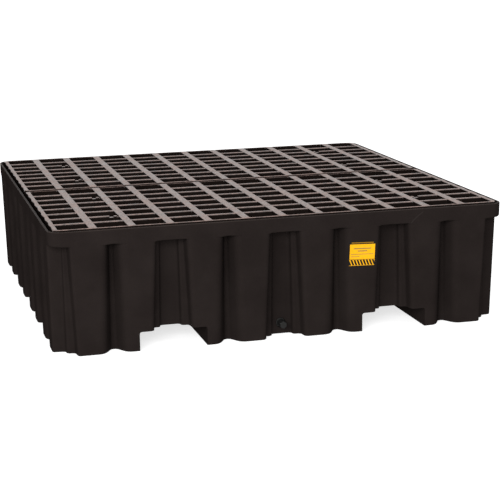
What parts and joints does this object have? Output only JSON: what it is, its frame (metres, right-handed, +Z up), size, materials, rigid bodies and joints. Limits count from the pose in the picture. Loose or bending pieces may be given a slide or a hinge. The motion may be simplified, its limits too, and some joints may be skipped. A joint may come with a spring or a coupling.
{
  "type": "spill containment pallet",
  "caption": "Square fluted plastic sump tub with fork tunnels through its base, lift-out slotted deck gratings, and a threaded drain plug low in the front wall.",
  "frame": {"origin": "on the floor, under the middle of the tub", "axes": "+Z up; -Y is the front, with the drain plug and the label; +X to the right seen from the front"},
  "size_m": [1.308, 1.308, 0.349],
  "materials": {
    "tub_plastic": "black moulded polyethylene, satin",
    "deck_plastic": "black moulded polyethylene, worn on top",
    "insert_plastic": "black moulded plastic",
    "seal_rubber": "black rubber",
    "plug_plastic": "dark grey moulded plastic",
    "label_film": "yellow printed film"
  },
  "bodies": {
    "tub": {"sump_tub": "tub_plastic", "drain_insert": "insert_plastic", "hazard_label": "label_film"},
    "front_grate": {"front_grate": "deck_plastic"},
    "rear_grate": {"rear_grate": "deck_plastic"},
    "plug_seal": {"plug_seal": "seal_rubber"},
    "drain_plug": {"drain_plug": "plug_plastic"}
  },
  "joints": [
    {"name": "front_grate_lift", "type": "slide", "parent": "tub", "child": "front_grate", "axis": [0, 0, 1], "range_m": [0, 0.3]},
    {"name": "rear_grate_lift", "type": "slide", "parent": "tub", "child": "rear_grate", "axis": [0, 0, 1], "range_m": [0, 0.3]},
    {"name": "plug_advance", "type": "slide", "parent": "tub", "child": "plug_seal", "axis": [0, -1, 0], "range_m": [0, 0.016]},
    {"name": "plug_turn", "type": "hinge", "parent": "plug_seal", "child": "drain_plug", "pos_m": [0, -0.595, 0.032], "axis": [0, -1, 0], "range_deg": [0, 2880]}
  ],
  "couplings": [
    {"joint": "plug_turn", "follows": "plug_advance", "rad_per_m": 3141.6}
  ]
}
